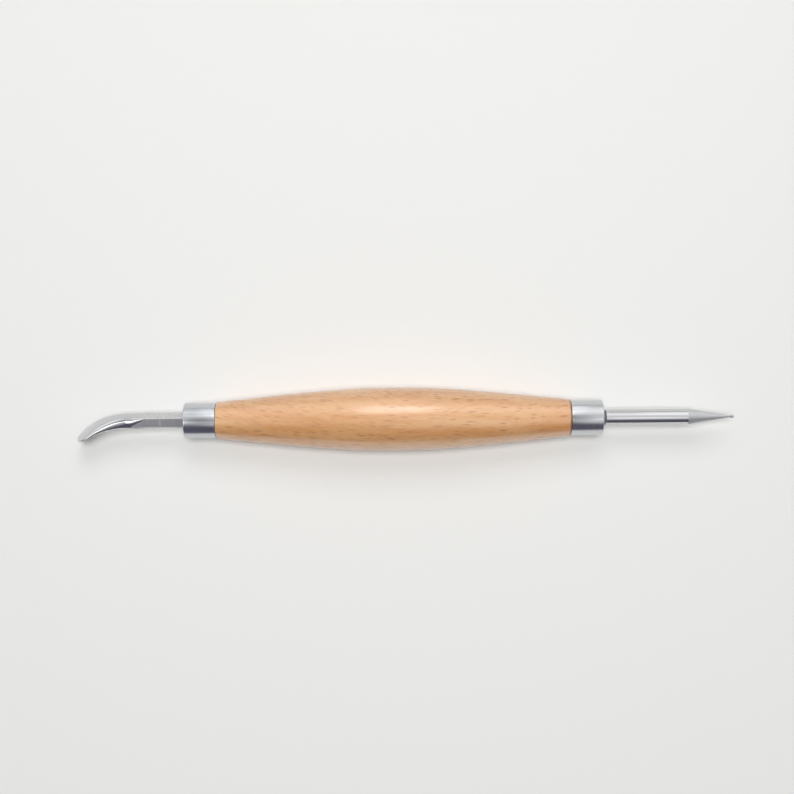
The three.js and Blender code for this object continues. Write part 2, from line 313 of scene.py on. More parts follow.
class SpoonSettings(bpy.types.PropertyGroup):
    """Shape and colour of the spoon forged from square bar."""

    bar_side: length("Bar Side", "Side of the square bar", 3.2 * MM)
    back_radius: length("Back Radius", "Radius of the back's two edges", 0.25 * MM)
    front_radius: length("Front Radius", "Radius of the front's two edges", 1.1 * MM)
    bend_start: length("Bend Start", "Distance of the bend from the middle of the tool", 67.8 * MM)
    bend_radius: length("Bend Radius", "Radius of the bend", 19.05 * MM)
    bend_angle: angle("Bend Angle", "How far the spoon turns from the bar", 42.7)
    roll: angle("Roll", "Turn of the spoon's back from straight up", -63)
    width: length("Width", "Width of the spoon near its end", 7.8 * MM)
    end_length: length("End Length", "Length of the rounded end", 3.3 * MM)
    rim_thickness: length("Rim Thickness", "Thickness of the spoon's rim", 0.7 * MM)
    crown: length("Crown", "How far the back swells", 0.22 * MM)
    dish: length("Dish", "How far the front is hollowed", 0.2 * MM)
    taper_power: level("Taper Power", "Higher keeps the bar's section for longer", 1.25)
    polish_lead: length("Polish Lead", "How far before the bend the polish starts", 4.7 * MM)
    polish_run: length("Polish Run", "Length over which the polish spreads", 3.2 * MM)
    spread: length("Spread", "How much wider the bar gets where the polish starts", 0.95 * MM)
    ridge_inset: length("Ridge Inset", "How far polishing brings the ridge in", 1.05 * MM)
    domed_share: share("Domed Share", "Share of the side that is domed by polishing", 0.62)
    metal: tint("Forged Steel", "Colour of the polished steel", (0.62, 0.625, 0.64, 1))
    ground_metal: tint("Ground Steel", "Colour of the ground flats", (0.74, 0.74, 0.755, 1))
    # A real crease across the bar, whose lighter colour is painted highlight
    crease_and_glint: tint("Scratch", "Colour of the one deep mark across the bar", (0.85, 0.85, 0.86, 1))


class StylusSettings(bpy.types.PropertyGroup):
    """Shape and colour of the ball stylus."""

    cone_length: length("Cone Length", "Length of the ground cone", 10.9 * MM)
    neck_radius: length("Neck Radius", "Radius at the end of the cone", 0.26 * MM)
    chamfer: length("Chamfer", "Chamfer at the start of the rod", 0.3 * MM)
    rod_shoulder: length("Rod Shoulder", "Flat ring between the chamfer and the tang", 0.1 * MM)
    groove_pitch: length("Groove Pitch", "Distance between the grooves of the tang", 5 * MM)
    groove_width: length("Groove Width", "Width of a groove of the tang", 1.2 * MM)
    groove_depth: length("Groove Depth", "Depth of a groove of the tang", 0.2 * MM)
    collar_radius: length("Collar Radius", "Radius of the glue collar at the ferrule", 2.2 * MM)
    collar_slope: length("Collar Slope", "How much the collar narrows to its end", 0.3 * MM)
    metal: tint("Turned Steel", "Colour of the turned steel", (0.65, 0.655, 0.665, 1))
    glue: tint("Adhesive", "Colour of the cured adhesive", colour(132, 131, 134))


class StageSettings(bpy.types.PropertyGroup):
    """The table, the lights and the camera."""

    table: tint("Table", "Colour of the table", colour(238, 238, 236))
    haze_start: length("Haze Start", "Distance where the table starts to fade", 0.15)
    haze_end: length("Haze End", "Distance where the table has become the backdrop", 0.5)
    backdrop: tint("Backdrop", "Colour that is seen beyond the table", (0.84, 0.84, 0.83, 1))
    wall: tint("Wall", "Colour of the dark wall that metal sees", (0.12, 0.115, 0.15, 1))
    ambient: level("Ambient", "Brightness of the light from all round", 0.08)
    overhead_power: power("Overhead Power", "Power of the lamp over the tool", 10.2)
    overhead_size: length("Overhead Size", "Side of the lamp over the tool", 0.38)
    overhead_distance: length("Overhead Distance", "Distance of the lamp over the tool", 1.2)
    overhead_lean: angle("Overhead Lean", "Lean of that lamp towards the far side", 2.6)
    window_power: power("Window Power", "Power of the lamp on the far side", 1.15)
    window_size: length("Window Size", "Side of the lamp on the far side", 0.3)
    window_distance: length("Window Distance", "Distance of the lamp on the far side", 0.65)
    window_lean: angle("Window Lean", "Lean of that lamp towards the far side", 37)
    camera_height: length("Camera Height", "Height of the camera above the tool's axis", 350 * MM)
    camera_x: length("Camera X", "Place of the camera along the tool", 0.997 * MM)
    camera_y: length("Camera Y", "Place of the camera across the tool", 5.59 * MM)
    camera_turn: angle("Camera Turn", "Turn of the camera about the vertical", -0.481)


class ToolSettings(bpy.types.PropertyGroup):
    """All the settings of the modeling tool."""

    handle: PointerProperty(type=HandleSettings)
    ferrules: PointerProperty(type=FerruleSettings)
    spoon: PointerProperty(type=SpoonSettings)
    stylus: PointerProperty(type=StylusSettings)
    stage: PointerProperty(type=StageSettings)


# Features to a millimetre of each texture: along the tool, and across it both ways
WANDER = (0.04, 0.06, 0.06)
FIGURE = (0.025, 0.45, 0.45)
FIBRE = (0.22, 5.0, 5.0)
SPOTS = (0.11, 0.22, 0.22)
FLECKS = (0.25, 1.6, 1.6)
RIPPLE = (0.35, 1.1, 1.1)
DRAWN_LINES = (0.05, 3.2, 3.2)
PLATE_WAVES = (0.16, 0.5, 0.5)
PLATE_SPECKS = (2.0, 6.0, 6.0)
GRINDING_MARKS = (7.0, 0.35, 0.35)
POLISH_WEAR = (0.5, 0.9, 0.9)
TURNING_RINGS = (9.0, 0.0, 0.0)
ROD_LINES = (0.08, 4.0, 4.0)
GLUE_LUMPS = (1.6, 1.6, 1.6)

# The grain drifts this many millimetres across, and leans and curls along the handle
GRAIN_DRIFT = (0, 5, 5)
GRAIN_LEAN = 0.05
GRAIN_CURL = 0.0014
# The painted shade in the groove at the stylus's ferrule is this wide, and sets in over its first
# part, in millimetres
GROOVE_SHADE_WIDTH = 0.5
GROOVE_SHADE_EASE = 0.18
# Stations of the crease across the bar, a real mark whose lighter colour is painted highlight: its
# rise, top, fall and end, in millimetres
CREASE_AND_GLINT = (-59.36, -59.2, -59.1, -58.94)
# How much the drawn lines darken the bright plate and the duller one
BRIGHT_STREAKS = 0.07
WORN_STREAKS = 0.16
# Roughness of the smoothest spots, and what grinding adds to it on the flats and on the cone
PLATE_ROUGHNESS = 0.13
STEEL_ROUGHNESS = 0.05
GLUE_ROUGHNESS = 0.25
FLAT_GRINDING = 0.4
CONE_GRINDING = 0.52


def beech(look):
    """Sanded beech: pale figure along the grain, fine dark flecks, warm spots, satin lacquer, and
    painted shade in the groove at the stylus's ferrule.
    """
    paint = Paint("beech")
    place = paint.millimetres()
    along = paint.split(place)[0]
    wander = paint.noise(place, WANDER, 1.0, "Color")
    drift = paint.vector("MULTIPLY", paint.vector("SUBTRACT", wander, (0.5,) * 3), GRAIN_DRIFT)
    lean = along * GRAIN_LEAN - along * along * GRAIN_CURL
    grain = paint.vector("ADD", place, paint.vector("ADD", drift, paint.join(0.0, lean, 0.0)))

    figure = paint.noise(grain, FIGURE, 3.0)
    fibre = paint.noise(grain, FIBRE, 3.0)
    tone = paint.ease(figure + (fibre - 0.5) * 0.35, 0.32, 0.68)
    wood = paint.mix(tone, look.pale_wood, look.warm_wood)

    spot_distance, _ = paint.cells(grain, SPOTS)
    spot = 1 - paint.ease(spot_distance, 0.04, 0.2)
    wood = paint.mix(spot * 0.6, wood, look.blush)

    fleck_distance, chance = paint.cells(grain, FLECKS)
    fleck = 1 - paint.ease(fleck_distance, 0.14, 0.42)
    fleck = fleck * (paint.split(chance)[0] * 0.6 + 0.12)
    wood = paint.mix(fleck, wood, look.fleck)

    # Painted shade: the wood darkens where it rounds into the groove at the stylus's ferrule
    groove_shade_start = STYLUS_FERRULE_LOW.x / MM - GROOVE_SHADE_WIDTH
    seam = paint.ease(along, groove_shade_start, groove_shade_start + GROOVE_SHADE_EASE) * 0.85
    wood = paint.mix(seam, wood, look.seam)

    ripple = paint.noise(place, RIPPLE)
    return paint.finish(
        base_color=wood,
        roughness=fleck * 0.15 + fibre * 0.08 + look.wood_roughness,
        normal=paint.bump(ripple * 0.5 + fibre * 0.25 - fleck * 0.35, 0.03 * MM),
        specular_ior_level=1.0,
        coat_weight=paint.ease(fibre, 0.38, 0.6) * 0.45 + 0.55 - fleck * 0.2,
        coat_ior=2.2,
        coat_roughness=look.lacquer_roughness,
    )


def nickel(name, metal, streaks):
    """Nickel plate over a drawn cup: bright, with faint lines along its length."""
    paint = Paint(name)
    place = paint.millimetres()
    lines = paint.noise(place, DRAWN_LINES, 3.0)
    waves = paint.noise(place, PLATE_WAVES, 1.0)
    specks = paint.noise(place, PLATE_SPECKS)
    tone = paint.ease(lines * 0.7 + specks * 0.3, 0.3, 0.7)
    return paint.finish(
        base_color=paint.mix(tone, dimmed(metal, 1 - streaks), metal),
        metallic=1.0,
        roughness=lines * 0.12 + specks * 0.06 + PLATE_ROUGHNESS,
        normal=paint.bump(lines * 0.35 + waves, 0.02 * MM),
    )


def forged_steel(look):
    """Square bar ground across its flats, polished where the polish attribute says so."""
    paint = Paint("forged_steel")
    place = paint.millimetres()
    polish = paint.take("ShaderNodeAttribute", "Fac", {"attribute_name": "polish"})
    marks = paint.noise(place, GRINDING_MARKS, 3.0)
    wear = paint.noise(place, POLISH_WEAR)
    ground = 1 - polish
    # The crease across the bar: real roughness, and a lighter colour that is painted highlight
    crease_and_glint = paint.hump(paint.split(place)[0], *CREASE_AND_GLINT) * ground
    dark = dimmed(look.ground_metal, 0.86)
    brushed = paint.mix(paint.ease(marks, 0.3, 0.7), look.ground_metal, dark)
    brushed = paint.mix(crease_and_glint * 0.8, brushed, look.crease_and_glint)
    rough = ground * FLAT_GRINDING + marks * ground * 0.12 + wear * 0.06 + crease_and_glint * 0.4
    return paint.finish(
        base_color=paint.mix(ground, look.metal, brushed),
        metallic=1.0,
        roughness=rough + STEEL_ROUGHNESS,
        normal=paint.bump(marks * ground + wear * 0.12, 0.02 * MM),
    )


def turned_steel(look, cone_start):
    """Polished rod whose cone is ground to a fine satin, with faint rings round it."""
    paint = Paint("turned_steel")
    place = paint.millimetres()
    edge = cone_start / MM
    ground = paint.ease(paint.split(place)[0], edge - 0.02, edge + 0.05)
    rings = paint.noise(place, TURNING_RINGS)
    lines = paint.noise(place, ROD_LINES)
    return paint.finish(
        base_color=look.metal,
        metallic=1.0,
        roughness=ground * CONE_GRINDING + lines * 0.05 + STEEL_ROUGHNESS,
        normal=paint.bump(rings * ground + lines * 0.08, 0.01 * MM),
    )


def cured_glue(look):
    """Cured epoxy, dark and slightly uneven."""
    paint = Paint("adhesive")
    lumps = paint.noise(paint.millimetres(), GLUE_LUMPS, 3.0)
    return paint.finish(
        base_color=paint.mix(lumps, look.glue, dimmed(look.glue, 0.6)),
        roughness=lumps * 0.2 + GLUE_ROUGHNESS,
        normal=paint.bump(lumps, 0.05 * MM),
    )


def set_piece(piece, material, slot, *nodes):
    """Gives a piece its finish and its body, and hides the solids that it stands for."""
    piece.data.materials.clear()
    piece.data.materials.append(material)
    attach(piece, BODY)
    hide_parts(*nodes)


def add_object(name, mesh):
    piece = bpy.data.objects.new(name, mesh)
    bpy.context.scene.collection.objects.link(piece)
    return piece


def arc(centre_x, centre_radius, radius, start, end, steps=EDGE_STEPS):
    """Profile points along an arc, between angles in degrees that are counted from +X."""
    points = []
    for step in range(steps + 1):
        turn = math.radians(start + (end - start) * step / steps)
        points.append((centre_x + radius * math.cos(turn), centre_radius + radius * math.sin(turn)))
    return points


def mirrored(profile):
    """The same profile for a piece on the spoon's side of the handle."""
    return [(-x, radius) for x, radius in profile]


def add_turned(name, profile):
    """A piece turned about the tool's axis, from (x, radius) points that close on themselves
    or start and end on the axis."""
    shape = bmesh.new()
    rings = []
    for x, radius in profile:
        turns = [2 * math.pi * side / SIDES for side in range(SIDES if radius > 0 else 1)]
        rings.append([
            shape.verts.new((x, radius * math.sin(turn), AXIS_HEIGHT + radius * math.cos(turn)))
            for turn in turns
        ])
    if profile[0][1] > 0:
        rings.append(rings[0])
    bridge_all(shape, rings)
    return finish_mesh(name, shape)


def bridge_all(shape, rings):
    for ring, following in zip(rings, rings[1:]):
        bridge(shape, ring, following)


def bridge(shape, ring, following):
    """Joins two rings by quads, or a ring and a pole by triangles."""
    count = max(len(ring), len(following))
    for side in range(count):
        beside = (side + 1) % count
        corners = []
        for circle, place in ((ring, side), (following, side), (following, beside), (ring, beside)):
            corner = circle[place % len(circle)]
            if corner not in corners:
                corners.append(corner)
        shape.faces.new(corners)


def finish_mesh(name, shape):
    """Turns a closed bmesh into an object with smooth faces and sharp corners."""
    bmesh.ops.recalc_face_normals(shape, faces=shape.faces)
    for face in shape.faces:
        face.smooth = True
    for edge in shape.edges:
        edge.smooth = edge.calc_face_angle(0) < SHARP_ANGLE
    mesh = bpy.data.meshes.new(name)
    shape.to_mesh(mesh)
    shape.free()
    return add_object(name, mesh)


class MODELTOOL_OT_handle(bpy.types.Operator):
    """Turns the beech handle with Geometry Nodes."""

    bl_idname = "modeling_tool.handle"
    bl_label = "Turn Handle"

    def execute(self, context):
        look = context.scene.modeling_tool.handle
        ferrules = context.scene.modeling_tool.ferrules
        sizes = {
            "Shoulder Distance": STYLUS_FERRULE_LOW.x - FIT,
            "Belly Radius": HANDLE_HIGH.y,
            "Shoulder Radius": look.shoulder_radius,
            "Shoulder Ease": look.shoulder_ease,
            "Belly Land": look.belly_land,
            "Swell": look.swell,
            "Axis Height": AXIS_HEIGHT,
            "Tenon Radius": STYLUS_FERRULE_HIGH.y - ferrules.wall - FIT,
            "Tenon End": HANDLE_HIGH.x,
            "Spoon Bore Radius": SPOON_GLUE_HIGH.y + FIT,
            "Stylus Bore Radius": STYLUS_GLUE_HIGH.y + FIT,
            "Spoon Bore Floor": -SPOON_HIGH.x - BORE_FLOOR_GAP,
            "Stylus Bore Floor": SHANK_LOW.x - BORE_FLOOR_GAP,
        }
        material = beech(look)
        source = add_object("handle_blank", bpy.data.meshes.new("handle_blank"))
        modifier = source.modifiers.new("turned_handle", "NODES")
        modifier.node_group = turned_handle_tree(sizes, material)
        for item in modifier.node_group.interface.items_tree:
            if item.in_out == "INPUT" and item.name in sizes:
                modifier[item.identifier] = sizes[item.name]
        evaluated = source.evaluated_get(context.evaluated_depsgraph_get())
        mesh = bpy.data.meshes.new_from_object(evaluated)
        if not mesh.polygons:
            raise RuntimeError("the handle's node tree made no faces")
        bpy.data.objects.remove(source)
        mesh.name = "turned_handle"
        set_piece(add_object("turned_handle", mesh), material, "beech", "handle")
        return {"FINISHED"}


# Rows along the handle, sides round it, and how close the seam's points lie before they merge
HANDLE_ROWS = 240
HANDLE_SIDES = 160
MERGE_DISTANCE = 0.0005 * MM


def turned_handle_tree(sizes, material):
    """Geometry Nodes for the handle: a sheet of points laid round the axis at the radius of the
    swelling, sanded flat underneath, whose ends step in to the tenons and the bores."""
    tree = bpy.data.node_groups.new("turned_handle", "GeometryNodeTree")
    tree.interface.new_socket("Geometry", in_out="INPUT", socket_type="NodeSocketGeometry")
    for name, value in sizes.items():
        socket = tree.interface.new_socket(name, in_out="INPUT", socket_type="NodeSocketFloat")
        socket.default_value = value
    tree.interface.new_socket("Geometry", in_out="OUTPUT", socket_type="NodeSocketGeometry")
    board = Board(tree)
    group_input = board.node("NodeGroupInput")
    size = {name: Wire(board, group_input.outputs[name]) for name in sizes}

    grid = board.take(
        "GeometryNodeMeshGrid", "Mesh", None,
        {"Vertices X": HANDLE_ROWS + 1, "Vertices Y": HANDLE_SIDES + 1},
    )
    index = board.take("GeometryNodeInputIndex", 0)
    row = board.math("FLOOR", index / (HANDLE_SIDES + 1) + 0.5 / (HANDLE_SIDES + 1))
    side = index - row * (HANDLE_SIDES + 1)
    turn = side * (2 * math.pi / HANDLE_SIDES)

    # Rows crowd towards the shoulders, so that their small rounding is smooth
    quarter_turns = row * (math.pi / HANDLE_ROWS) - math.pi / 2
    x = board.math("SINE", quarter_turns) * size["Shoulder Distance"]
    distance = board.math("ABSOLUTE", x)
    half_land = size["Belly Land"] * 0.5
    flank = board.math("MAXIMUM", distance - half_land, 0.0)
    reach = flank / (size["Shoulder Distance"] - half_land)
    swell = size["Swell"]
    curve = (swell * swell + reach * reach) ** 0.5 - swell
    fall = curve / ((swell * swell + 1) ** 0.5 - swell)
    ease = size["Shoulder Ease"]
    past = board.math("MAXIMUM", distance - size["Shoulder Distance"] + ease, 0.0)
    rounding = ease - board.math("MAXIMUM", ease * ease - past * past, 0.0) ** 0.5
    radius = size["Belly Radius"] + (size["Shoulder Radius"] - size["Belly Radius"]) * fall - rounding
    y = board.math("SINE", turn) * radius
    height = board.math("MAXIMUM", board.math("COSINE", turn) * radius, 0 - size["Axis Height"])
    shape = board.reshape("SetPosition", grid, {"Position": board.join(x, y, height)})
    shape = board.reshape("MergeByDistance", shape, {"Distance": MERGE_DISTANCE})

    # Each step draws the open ends on to the next corner of the tenon or the bore
    px, py, pz = board.split(board.take("GeometryNodeInputPosition", 0))
    off_axis = board.math("MAXIMUM", (py * py + pz * pz) ** 0.5, MERGE_DISTANCE)
    spoon_end = px < 0.0
    sign = 1 - spoon_end * 2
    stylus_end = 1 - spoon_end
    bore = size["Spoon Bore Radius"] * spoon_end + size["Stylus Bore Radius"] * stylus_end
    floor = size["Spoon Bore Floor"] * spoon_end + size["Stylus Bore Floor"] * stylus_end
    rim = board.take("GeometryNodeInputMeshEdgeNeighbors", 0) < 1.5
    steps = (
        (size["Shoulder Distance"], size["Tenon Radius"]),
        (size["Tenon End"], size["Tenon Radius"]),
        (size["Tenon End"], bore),
        (floor, bore),
        (floor, 0.0),
    )
    for reached, next_radius in steps:
        drawn = board.node(
            "GeometryNodeExtrudeMesh", {"mode": "EDGES"},
            {"Mesh": shape, "Selection": rim, "Offset Scale": 0.0},
        )
        mesh, top = board.wires(drawn, "Mesh", "Top")
        place = board.join(sign * reached, py / off_axis * next_radius, pz / off_axis * next_radius)
        shape = board.reshape("SetPosition", mesh, {"Selection": top, "Position": place})
    shape = board.reshape("MergeByDistance", shape, {"Distance": MERGE_DISTANCE})
    lift = board.join(0.0, 0.0, size["Axis Height"])
    shape = board.reshape("SetPosition", shape, {"Offset": lift})
    corner = board.take("GeometryNodeInputMeshEdgeAngle", 0) > SHARP_ANGLE
    sharp = {"Selection": corner, "Shade Smooth": False}
    shape = board.reshape("SetShadeSmooth", shape, None, {"domain": "FACE"})
    shape = board.reshape("SetShadeSmooth", shape, sharp, {"domain": "EDGE"})
    shape = board.reshape("RealizeInstances", shape)
    shape = board.reshape("SetMaterial", shape, {"Material": material})
    board.node("NodeGroupOutput", None, {"Geometry": shape})
    return tree


class MODELTOOL_OT_ferrules(bpy.types.Operator):
    """Draws the two ferrules."""

    bl_idname = "modeling_tool.ferrules"
    bl_label = "Draw Ferrules"

    def execute(self, context):
        look = context.scene.modeling_tool.ferrules
        bright = nickel("bright_nickel", look.metal, BRIGHT_STREAKS)
        worn = nickel("worn_nickel", look.worn_metal, WORN_STREAKS)
        stylus_cup = cup_profile(look, STYLUS_FERRULE_LOW, STYLUS_FERRULE_HIGH, STYLUS_GLUE_HIGH.y,
                                 look.stylus_rim)
        spoon_cup = cup_profile(look, -SPOON_FERRULE_HIGH, -SPOON_FERRULE_LOW, SPOON_GLUE_HIGH.y,
                                look.spoon_rim)
        for name, profile, material in (
            ("stylus_ferrule", stylus_cup, bright),
            ("spoon_ferrule", mirrored(spoon_cup), worn),
        ):
            set_piece(add_turned(f"drawn_{name}", profile), material, "nickel_plate", name)
        return {"FINISHED"}


def cup_profile(look, low, high, hole_radius, rim):
    """A drawn cup between two stations, its mouth towards the handle."""
    radius = high.y
    bore = radius - look.wall
    mouth, end = low.x, high.x
    floor = end - look.end_thickness
    return [
        (mouth, bore),
        *arc(mouth + look.mouth_ease, radius - look.mouth_ease, look.mouth_ease, 180, 90,
             MOUTH_STEPS),
        *arc(end - rim, radius - rim, rim, 90, 0),
        (end, hole_radius),
        (floor, hole_radius),
        (floor, bore),
    ]


class MODELTOOL_OT_spoon(bpy.types.Operator):
    """Forges the bent spoon and its square tang."""

    bl_idname = "modeling_tool.spoon"
    bl_label = "Forge Spoon"

    def execute(self, context):
        look = context.scene.modeling_tool.spoon
        piece = add_spoon(look)
        set_piece(piece, forged_steel(look), "forged_steel", "modeling_spoon")
        return {"FINISHED"}


# Points round the spoon's section, and its rings along the bar
CORNER_STEPS = 10
FACE_STEPS = 10
SIDE_STEPS = 5
BEND_RINGS = 90
END_RINGS = 28
LEAD_RINGS = 24
END_TURN = math.radians(83.8)  # the rounded end stops here, just short of closing
# The tang narrows over its last stretch, to a share of the bar
TANG_TAPER = 3 * MM
TANG_END_SHARE = 0.55
WIDEST_EDGE_SHARE = 0.9  # the most of the half width that an edge takes


def ramp(distance, start, run):
    """0 before start, 1 past the run that follows, and straight between them."""
    return min(max((distance - start) / run, 0), 1)


def blend(first, second, part):
    return first + (second - first) * part


def forging(look, distance):
    """Sizes of the section at a distance past the start of the bend."""
    taper_length = look.bend_radius * look.bend_angle - look.end_length
    reach = ramp(distance, 0, taper_length)
    taper = reach ** look.taper_power
    end_share = max(0, distance - taper_length) / look.end_length
    round_end = math.sqrt(max(0, 1 - end_share ** 2))
    polish = ramp(distance, -look.polish_lead, look.polish_run)
    thickness = blend(look.bar_side, look.rim_thickness, taper)
    spread = look.bar_side + look.spread * polish
    half_width = blend(spread, look.width, taper) / 2 * round_end
    widest_edge = half_width * WIDEST_EDGE_SHARE
    domed = thickness * look.domed_share
    return {
        "half_width": half_width,
        "half_thickness": thickness / 2,
        "inset": min(blend(look.back_radius, look.ridge_inset, polish), widest_edge),
        "drop": min(blend(look.back_radius, domed, polish), domed),
        "edge": min(look.front_radius, thickness * (1 - look.domed_share), widest_edge),
        "crown": look.crown * reach * round_end,
        "dish": look.dish * reach * round_end,
    }


def section(half_width, half_thickness, inset, drop, edge, crown, dish):
    """Points (across, outwards, on_ridge) round the bar or spoon, its back outwards. on_ridge is
    1 on the back and its domed edges, and 0 on the rest."""
    back = half_width - inset
    front = half_width - edge
    points = []

    def corner(centre_y, centre_z, radius_y, radius_z, start, on_ridge):
        for step in range(CORNER_STEPS + 1):
            turn = math.radians(start + 90 * step / CORNER_STEPS)
            points.append(
                (centre_y + radius_y * math.cos(turn), centre_z + radius_z * math.sin(turn), on_ridge)
            )

    def face(start_y, end_y, reach, height, swell, on_ridge):
        for step in range(1, FACE_STEPS):
            y = start_y + (end_y - start_y) * step / FACE_STEPS
            points.append((y, height + swell * (1 - (y / reach) ** 2), on_ridge))

    def side(y, start_z, end_z):
        for step in range(1, SIDE_STEPS):
            points.append((y, start_z + (end_z - start_z) * step / SIDE_STEPS, 0))

    dome_foot = half_thickness - drop
    edge_top = edge - half_thickness
    corner(back, dome_foot, inset, drop, 0, 1)
    face(back, -back, back, half_thickness, crown, 1)
    corner(-back, dome_foot, inset, drop, 90, 1)
    side(-half_width, dome_foot, edge_top)
    corner(-front, edge_top, edge, edge, 180, 0)
    face(-front, front, front, -half_thickness, dish, 0)
    corner(front, edge_top, edge, edge, 270, 0)
    side(half_width, edge_top, dome_foot)
    return points


def add_spoon(look):
    """The bar and the spoon as one skin over the rings of its sections."""
    tang_end = look.bend_start + SPOON_HIGH.x
    taper_length = look.bend_radius * look.bend_angle - look.end_length
    bar = forging(look, -look.bend_start)
    tang_tip = {name: value * TANG_END_SHARE for name, value in bar.items()}
    stations = [-tang_end + TANG_TAPER]
    for step in range(LEAD_RINGS):
        stations.append(-look.polish_lead * (1 - step / LEAD_RINGS))
    for step in range(BEND_RINGS):
        stations.append(taper_length * step / BEND_RINGS)
    for step in range(END_RINGS + 1):
        stations.append(taper_length + look.end_length * math.sin(END_TURN * step / END_RINGS))

    shape = bmesh.new()
    polish = shape.verts.layers.float.new("polish")
    roll = Matrix.Rotation(look.roll, 3, "X")
    rings = [spoon_ring(shape, look, -tang_end, section(**tang_tip), polish, roll)]
    for distance in stations:
        ring = spoon_ring(shape, look, distance, section(**forging(look, distance)), polish, roll)
        rings.append(ring)
    bridge_all(shape, rings)
    for ring in (rings[0], rings[-1]):
        centre = sum((vert.co for vert in ring), Vector()) / len(ring)
        hub = shape.verts.new(centre)
        hub[polish] = ring[0][polish]
        bridge(shape, ring, [hub])
    return finish_mesh("forged_spoon", shape)


# Where the polish takes over from the grinding marks, before the bend
RIDGE_POLISH_RUN = 0.5 * MM
SIDE_POLISH_LEAD = 1.7 * MM
SIDE_POLISH_RUN = 0.5 * MM


def spoon_ring(shape, look, distance, points, polish, roll):
    """One ring of the forging at a distance past the start of the bend."""
    turn = max(0, distance) / look.bend_radius
    centre = Vector((
        -look.bend_start - min(0, distance) - look.bend_radius * math.sin(turn),
        0,
        -look.bend_radius * (1 - math.cos(turn)),
    ))
    outwards = Vector((-math.sin(turn), 0, math.cos(turn)))
    ridge_polish = ramp(distance, -look.polish_lead, RIDGE_POLISH_RUN)
    side_polish = ramp(distance, -SIDE_POLISH_LEAD, SIDE_POLISH_RUN)
    ring = []
    for y, z, on_ridge in points:
        place = roll @ (centre + Vector((0, y, 0)) + outwards * z)
        vert = shape.verts.new(place + Vector((0, 0, AXIS_HEIGHT)))
        vert[polish] = ridge_polish if on_ridge else side_polish
        ring.append(vert)
    return ring


class MODELTOOL_OT_stylus(bpy.types.Operator):
    """Turns the stylus's rod and cone, and its ball."""

    bl_idname = "modeling_tool.stylus"
    bl_label = "Turn Stylus"

    def execute(self, context):
        look = context.scene.modeling_tool.stylus
        cone_start = SHANK_HIGH.x - look.cone_length
        material = turned_steel(look, cone_start)
        shank = add_turned("turned_shank", shank_profile(look, cone_start))
        set_piece(shank, material, "turned_steel", "stylus_shank")
        ball = add_turned("turned_ball", ball_profile())
        set_piece(ball, material, "turned_steel", "stylus_ball")
        return {"FINISHED"}


TANG_GROOVES = 3
SEAT_LIP = 0.06 * MM  # wall left round the ball's seat
SEAT_STEPS = 6


def shank_profile(look, cone_start):
    """The grooved tang, the rod, the ground cone, and the hollow seat of the ball in its end."""
    radius = SHANK_HIGH.y
    rod_start = STYLUS_GLUE_HIGH.x
    face_radius = radius - look.chamfer
    tang_radius = face_radius - look.rod_shoulder
    points = [(SHANK_LOW.x, 0), (SHANK_LOW.x, tang_radius)]
    for number in range(1, TANG_GROOVES + 1):
        middle = SHANK_LOW.x + number * look.groove_pitch
        points += [
            (middle - look.groove_width / 2, tang_radius),
            (middle, tang_radius - look.groove_depth),
            (middle + look.groove_width / 2, tang_radius),
        ]
    points += [
        (rod_start, tang_radius),
        (rod_start, face_radius),
        (rod_start + look.chamfer, radius),
        (cone_start, radius),
        (SHANK_HIGH.x, look.neck_radius),
    ]
    seat_radius = look.neck_radius - SEAT_LIP
    ball_radius = BALL_HIGH.y
    half_turn = math.asin(seat_radius / ball_radius)
    hub = SHANK_HIGH.x + ball_radius * math.cos(half_turn)
    for step in range(SEAT_STEPS):
        turn = half_turn * (1 - step / SEAT_STEPS)
        points.append((hub - ball_radius * math.cos(turn), ball_radius * math.sin(turn)))
    points.append((hub - ball_radius, 0))
    return points


def ball_profile():
    """The ball's half circle, with its two ends put exactly on the axis."""
    radius = BALL_HIGH.y
    centre = BALL_HIGH.x - radius
    half_circle = arc(centre, 0, radius, 180, 0, BALL_STEPS)
    return [(centre - radius, 0), *half_circle[1:-1], (centre + radius, 0)]


class MODELTOOL_OT_adhesive(bpy.types.Operator):
    """Fills the bores round both tangs, with the collar that shows at the stylus."""

    bl_idname = "modeling_tool.adhesive"
    bl_label = "Fill Adhesive"

    def execute(self, context):
        look = context.scene.modeling_tool.stylus
        material = cured_glue(look)
        tang_radius = SHANK_HIGH.y - look.chamfer - look.rod_shoulder
        face = STYLUS_FERRULE_HIGH.x
        collar = [
            (STYLUS_GLUE_LOW.x, tang_radius),
            (STYLUS_GLUE_LOW.x, STYLUS_GLUE_HIGH.y),
            (face, STYLUS_GLUE_HIGH.y),
            (face, look.collar_radius),
            (STYLUS_GLUE_HIGH.x, look.collar_radius - look.collar_slope),
            (STYLUS_GLUE_HIGH.x, tang_radius),
        ]
        set_piece(add_turned("stylus_collar", collar), material, "adhesive", "stylus_tang_adhesive")
        filling = add_filling(context.scene.modeling_tool.spoon)
        set_piece(filling, material, "adhesive", "spoon_tang_adhesive")
        return {"FINISHED"}


def add_filling(look):
    """The sleeve of adhesive between the spoon's square tang and its round bore."""
    bar = forging(look, -look.bend_start)
    bar["half_width"] += FIT
    bar["half_thickness"] += FIT
    roll = Matrix.Rotation(look.roll, 3, "X")
    inner = [roll @ Vector((0, y, z)) for y, z, _ in section(**bar)]
    outer = [point.normalized() * SPOON_GLUE_HIGH.y for point in inner]
    shape = bmesh.new()
    rings = []
    for x, outline in (
        (SPOON_GLUE_LOW.x, inner),
        (SPOON_GLUE_LOW.x, outer),
        (SPOON_GLUE_HIGH.x, outer),
        (SPOON_GLUE_HIGH.x, inner),
    ):
        station = Vector((x, 0, AXIS_HEIGHT))
        rings.append([shape.verts.new(station + point) for point in outline])
    rings.append(rings[0])
    bridge_all(shape, rings)
    return finish_mesh("spoon_filling", shape)


